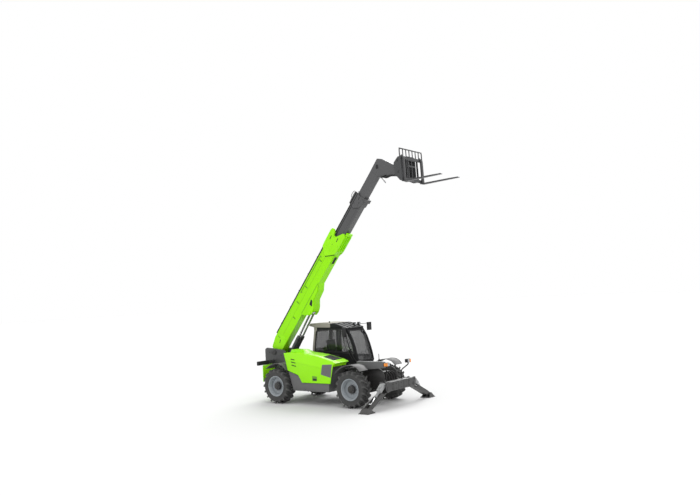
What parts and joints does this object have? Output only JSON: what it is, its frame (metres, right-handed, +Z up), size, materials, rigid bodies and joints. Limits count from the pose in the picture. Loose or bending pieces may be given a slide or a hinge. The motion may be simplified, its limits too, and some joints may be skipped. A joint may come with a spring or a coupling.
{
  "type": "telehandler",
  "caption": "Four-wheel-steer telehandler with a raised telescopic boom, pallet forks, a side engine pod, an offset cab and front stabilizers.",
  "frame": {"origin": "on the ground, midway along the bounding box and on the machine's middle plane", "axes": "+X forward, +Y to the machine's left, +Z up"},
  "size_m": [7.5632, 3.759, 7.8328],
  "materials": {
    "frame_paint": "satin",
    "tower_paint": "satin",
    "lime_paint": "gloss",
    "leg_paint": "satin",
    "axle_paint": "satin",
    "fender_plastic": "matt",
    "skirt_paint": "satin",
    "trim_plastic": "matt",
    "cab_paint": "satin",
    "roof_plastic": "matt",
    "cab_glass": "clear",
    "seat_vinyl": "matt",
    "door_paint": "satin",
    "boom_grey_paint": "satin",
    "carriage_paint": "satin",
    "fork_steel": "satin",
    "cylinder_paint": "satin",
    "chrome_rod": "polished",
    "rim_paint": "satin",
    "tyre_rubber": "matt"
  },
  "bodies": {
    "chassis": {"chassis_frame": "frame_paint", "boom_tower": "tower_paint", "counterweight": "lime_paint", "stabilizer_beam": "leg_paint", "front_axle": "axle_paint", "rear_axle": "axle_paint", "fender_front_left": "fender_plastic", "fender_front_right": "fender_plastic", "fender_rear_left": "fender_plastic", "fender_rear_right": "fender_plastic", "engine_block": "axle_paint", "engine_bay": "skirt_paint", "left_tank": "skirt_paint", "valve_cover": "fender_plastic", "front_lamp_left": "trim_plastic", "front_lamp_right": "trim_plastic", "cab_mirror": "trim_plastic", "cab_body": "cab_paint", "cab_roof": "roof_plastic", "windscreen": "cab_glass", "right_window": "cab_glass", "rear_window": "cab_glass", "rear_quarter_window": "cab_glass", "driver_seat": "seat_vinyl", "steering_console": "trim_plastic"},
    "hood": {"engine_hood": "lime_paint"},
    "door": {"cab_door": "door_paint", "door_window": "cab_glass"},
    "boom_outer": {"boom_base": "lime_paint"},
    "boom_middle": {"boom_mid": "boom_grey_paint"},
    "boom_tip": {"boom_inner": "boom_grey_paint"},
    "carriage": {"fork_carriage": "carriage_paint", "fork_left": "fork_steel", "fork_right": "fork_steel"},
    "lift_barrel": {"lift_barrels": "cylinder_paint"},
    "lift_rod": {"lift_rods": "chrome_rod"},
    "steer_front_left": {"knuckle_front_left": "axle_paint"},
    "wheel_front_left": {"rim_front_left": "rim_paint", "tyre_front_left": "tyre_rubber"},
    "steer_front_right": {"knuckle_front_right": "axle_paint"},
    "wheel_front_right": {"rim_front_right": "rim_paint", "tyre_front_right": "tyre_rubber"},
    "steer_rear_left": {"knuckle_rear_left": "axle_paint"},
    "wheel_rear_left": {"rim_rear_left": "rim_paint", "tyre_rear_left": "tyre_rubber"},
    "steer_rear_right": {"knuckle_rear_right": "axle_paint"},
    "wheel_rear_right": {"rim_rear_right": "rim_paint", "tyre_rear_right": "tyre_rubber"},
    "stabilizer_left": {"leg_left": "leg_paint"},
    "foot_left": {"pad_left": "leg_paint"},
    "jack_tube_left": {"jack_barrel_left": "cylinder_paint"},
    "jack_ram_left": {"jack_rod_left": "chrome_rod"},
    "stabilizer_right": {"leg_right": "leg_paint"},
    "foot_right": {"pad_right": "leg_paint"},
    "jack_tube_right": {"jack_barrel_right": "cylinder_paint"},
    "jack_ram_right": {"jack_rod_right": "chrome_rod"}
  },
  "joints": [
    {"name": "boom_lift", "type": "hinge", "parent": "chassis", "child": "boom_outer", "pos_m": [-3.325, 0, 1.6], "axis": [0, -1, 0], "range_deg": [-54, 17.5]},
    {"name": "boom_extend", "type": "slide", "parent": "boom_outer", "child": "boom_middle", "axis": [0.6239, 0, 0.7815], "range_m": [-0.8, 2.4]},
    {"name": "boom_tip_extend", "type": "slide", "parent": "boom_middle", "child": "boom_tip", "axis": [0.6239, 0, 0.7815], "range_m": [-0.8, 2.4]},
    {"name": "fork_tilt", "type": "hinge", "parent": "boom_tip", "child": "carriage", "pos_m": [2.07544, 0, 7.1901], "axis": [0, 1, 0], "range_deg": [-65, 69]},
    {"name": "lift_barrel_swing", "type": "hinge", "parent": "chassis", "child": "lift_barrel", "pos_m": [-3.175, 0, 0.98], "axis": [0, -1, 0], "range_deg": [-48, 16]},
    {"name": "lift_rod_slide", "type": "slide", "parent": "lift_barrel", "child": "lift_rod", "axis": [0.5756, 0, 0.8178], "range_m": [-0.53, 0.175]},
    {"name": "stabilizer_right_swing", "type": "hinge", "parent": "chassis", "child": "stabilizer_right", "pos_m": [1.525, -0.72, 0.58], "axis": [1, 0, 0], "range_deg": [-95, 12]},
    {"name": "jack_right_swing", "type": "hinge", "parent": "chassis", "child": "jack_tube_right", "pos_m": [1.525, -0.78, 0.72], "axis": [1, 0, 0], "range_deg": [-104, 13.5]},
    {"name": "jack_right_slide", "type": "slide", "parent": "jack_tube_right", "child": "jack_ram_right", "axis": [0, -0.8178, -0.5755], "range_m": [-0.19, 0.03]},
    {"name": "foot_right_swing", "type": "hinge", "parent": "stabilizer_right", "child": "foot_right", "pos_m": [1.525, -1.69948, 0.125], "axis": [-1, 0, 0], "range_deg": [-24, 35]},
    {"name": "stabilizer_left_swing", "type": "hinge", "parent": "chassis", "child": "stabilizer_left", "pos_m": [1.525, 0.72, 0.58], "axis": [-1, 0, 0], "range_deg": [-95, 12]},
    {"name": "jack_left_swing", "type": "hinge", "parent": "chassis", "child": "jack_tube_left", "pos_m": [1.525, 0.78, 0.72], "axis": [-1, 0, 0], "range_deg": [-104, 13.5]},
    {"name": "jack_left_slide", "type": "slide", "parent": "jack_tube_left", "child": "jack_ram_left", "axis": [0, 0.8178, -0.5755], "range_m": [-0.19, 0.03]},
    {"name": "foot_left_swing", "type": "hinge", "parent": "stabilizer_left", "child": "foot_left", "pos_m": [1.525, 1.69948, 0.125], "axis": [1, 0, 0], "range_deg": [-24, 35]},
    {"name": "front_right_steer", "type": "hinge", "parent": "chassis", "child": "steer_front_right", "pos_m": [0.525, -0.72, 0.57], "axis": [0, 0, 1], "range_deg": [-35, 35]},
    {"name": "front_left_steer", "type": "hinge", "parent": "chassis", "child": "steer_front_left", "pos_m": [0.525, 0.72, 0.57], "axis": [0, 0, 1], "range_deg": [-35, 35]},
    {"name": "front_right_spin", "type": "hinge", "parent": "steer_front_right", "child": "wheel_front_right", "pos_m": [0.525, -0.99, 0.57], "axis": [0, 1, 0], "continuous": true},
    {"name": "front_left_spin", "type": "hinge", "parent": "steer_front_left", "child": "wheel_front_left", "pos_m": [0.525, 0.99, 0.57], "axis": [0, 1, 0], "continuous": true},
    {"name": "rear_right_steer", "type": "hinge", "parent": "chassis", "child": "steer_rear_right", "pos_m": [-2.545, -0.72, 0.57], "axis": [0, 0, 1], "range_deg": [-35, 35]},
    {"name": "rear_left_steer", "type": "hinge", "parent": "chassis", "child": "steer_rear_left", "pos_m": [-2.545, 0.72, 0.57], "axis": [0, 0, 1], "range_deg": [-35, 35]},
    {"name": "rear_right_spin", "type": "hinge", "parent": "steer_rear_right", "child": "wheel_rear_right", "pos_m": [-2.545, -0.99, 0.57], "axis": [0, 1, 0], "continuous": true},
    {"name": "rear_left_spin", "type": "hinge", "parent": "steer_rear_left", "child": "wheel_rear_left", "pos_m": [-2.545, 0.99, 0.57], "axis": [0, 1, 0], "continuous": true},
    {"name": "cab_door_swing", "type": "hinge", "parent": "chassis", "child": "door", "pos_m": [-1.645, 1.185, 0], "axis": [0, 0, 1], "range_deg": [0, 100]},
    {"name": "hood_swing", "type": "hinge", "parent": "chassis", "child": "hood", "pos_m": [0.525, -0.395, 1.6], "axis": [-1, 0, 0], "range_deg": [0, 60]}
  ],
  "couplings": [
    {"joint": "boom_tip_extend", "follows": "boom_extend", "ratio": 1},
    {"joint": "lift_barrel_swing", "follows": "boom_lift", "ratio": 0.88},
    {"joint": "lift_rod_slide", "follows": "boom_lift", "m_per_rad": 0.56},
    {"joint": "jack_left_swing", "follows": "stabilizer_left_swing", "ratio": 1.09},
    {"joint": "jack_left_slide", "follows": "stabilizer_left_swing", "m_per_rad": 0.11},
    {"joint": "jack_right_swing", "follows": "stabilizer_right_swing", "ratio": 1.09},
    {"joint": "jack_right_slide", "follows": "stabilizer_right_swing", "m_per_rad": 0.11},
    {"joint": "front_left_steer", "follows": "front_right_steer", "ratio": 1},
    {"joint": "rear_left_steer", "follows": "rear_right_steer", "ratio": 1}
  ]
}
